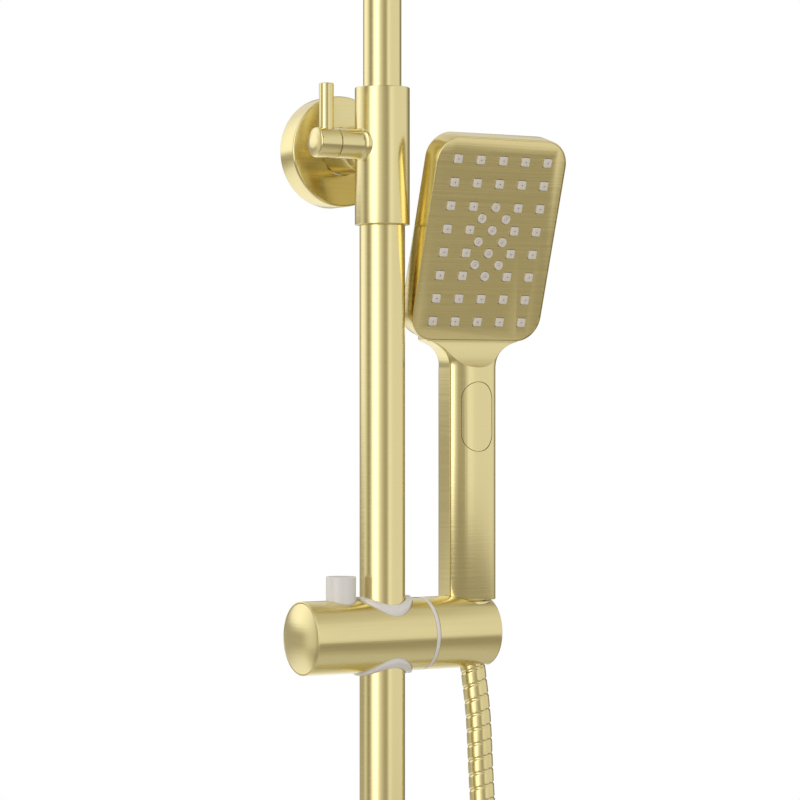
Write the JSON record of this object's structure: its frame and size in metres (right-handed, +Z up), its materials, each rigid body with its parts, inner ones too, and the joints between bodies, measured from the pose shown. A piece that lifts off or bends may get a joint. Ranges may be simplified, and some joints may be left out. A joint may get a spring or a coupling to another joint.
{
  "type": "shower column",
  "caption": "Wall shower column: overhead rain head on a gooseneck, diverter, slide rail, and a handset in a sliding, tilting holder with its hose.",
  "frame": {"origin": "on the wall plane, at the axis of the upper arm", "axes": "+Z up along the rail, +Y into the wall, +X to the right as seen from the room"},
  "size_m": [0.25, 0.5642, 1.5732],
  "materials": {
    "gold": "brushed satin",
    "bright_gold": "polished",
    "raw_brass": "machined",
    "steel": "satin",
    "white_plastic": "satin",
    "dark_plastic": "matte",
    "silicone": "matte",
    "rubber": "matte",
    "hose_metal": "satin spiral"
  },
  "bodies": {
    "column": {"upper_flange": "gold", "inlet_union": "raw_brass", "inlet_washer": "rubber", "upper_arm": "gold", "arm_ring": "bright_gold", "diverter_body": "gold", "diverter_cartridge": "white_plastic", "riser_o_ring": "rubber", "rail_o_ring": "rubber", "riser_tube": "gold", "ball_stem": "gold", "slide_rail": "gold", "lower_body": "gold", "lower_arm": "gold", "lower_flange": "gold", "lower_mount_plate": "steel", "mount_screw_left": "steel", "mount_screw_right": "steel", "hose_outlet": "raw_brass", "hose_lower_washer": "rubber", "hose_hex_nut": "gold", "hose_lower_ferrule": "gold", "hose_main": "hose_metal"},
    "diverter": {"diverter_stem": "raw_brass", "diverter_handle": "gold", "diverter_lever": "gold", "handle_grub_screw": "steel"},
    "ball_seat": {"ball_seat_ring": "white_plastic"},
    "rain_head": {"ball_nut": "gold", "rain_washer": "rubber", "rain_head_shell": "gold", "rain_face_plate": "gold", "rain_nozzle_mat": "silicone"},
    "carriage": {"rail_grip_ring": "rubber"},
    "slider": {"slider_body": "gold", "slider_end_cap": "gold", "rail_liner_upper": "white_plastic", "rail_liner_lower": "white_plastic", "button_spring": "steel", "brake_spring": "steel", "friction_ring": "white_plastic", "hose_turn": "hose_metal"},
    "release": {"release_button": "white_plastic"},
    "brake": {"brake_shoe": "dark_plastic"},
    "holder": {"holder": "gold", "holder_axle": "steel", "spring_washer": "steel", "hose_tilt": "hose_metal"},
    "handset": {"handset_body": "gold", "spray_plate": "gold", "nozzle_mat": "silicone", "mode_spring": "steel", "inner_waterway": "white_plastic", "handset_inlet": "raw_brass", "hose_washer": "rubber", "hose_cone_nut": "gold", "hose_top": "hose_metal"},
    "mode": {"mode_button": "gold"}
  },
  "joints": [
    {"name": "diverter_turn", "type": "hinge", "parent": "column", "child": "diverter", "pos_m": [-0.0355, -0.0592, 0], "axis": [1, 0, 0], "range_deg": [0, 90]},
    {"name": "rain_tilt", "type": "hinge", "parent": "column", "child": "ball_seat", "pos_m": [0, -0.4392, 0.296], "axis": [1, 0, 0], "range_deg": [-8, 8]},
    {"name": "rain_roll", "type": "hinge", "parent": "ball_seat", "child": "rain_head", "pos_m": [0, -0.4392, 0.296], "axis": [0, 1, 0], "range_deg": [-8, 8]},
    {"name": "slider_slide", "type": "slide", "parent": "column", "child": "carriage", "axis": [0, 0, 1], "range_m": [-0.555, 0.19], "deforming": ["hose_main"]},
    {"name": "slider_turn", "type": "hinge", "parent": "carriage", "child": "slider", "pos_m": [0, -0.0592, -0.2689], "axis": [0, 0, 1], "range_deg": [-45, 15], "deforming": ["hose_turn"]},
    {"name": "release_press", "type": "slide", "parent": "slider", "child": "release", "axis": [0, 0, -1], "range_m": [0, 0.0035], "stiffness_N_per_m": 1200, "springref_m": -0.002, "deforming": ["button_spring"]},
    {"name": "brake_release", "type": "slide", "parent": "slider", "child": "brake", "axis": [-1, 0, 0], "range_m": [0, 0.00175], "deforming": ["brake_spring"]},
    {"name": "holder_tilt", "type": "hinge", "parent": "slider", "child": "holder", "pos_m": [0.0256, -0.0592, -0.2689], "axis": [1, 0, 0], "range_deg": [-12, 35], "deforming": ["hose_tilt"]},
    {"name": "handset_lift", "type": "slide", "parent": "holder", "child": "handset", "axis": [0, 0, 1], "range_m": [0, 0.06], "deforming": ["hose_top"]},
    {"name": "mode_press", "type": "slide", "parent": "handset", "child": "mode", "axis": [0, 1, 0], "range_m": [0, 0.0015], "stiffness_N_per_m": 1500, "springref_m": -0.001, "deforming": ["mode_spring"]}
  ],
  "couplings": [
    {"joint": "brake_release", "follows": "release_press", "ratio": 0.5}
  ]
}
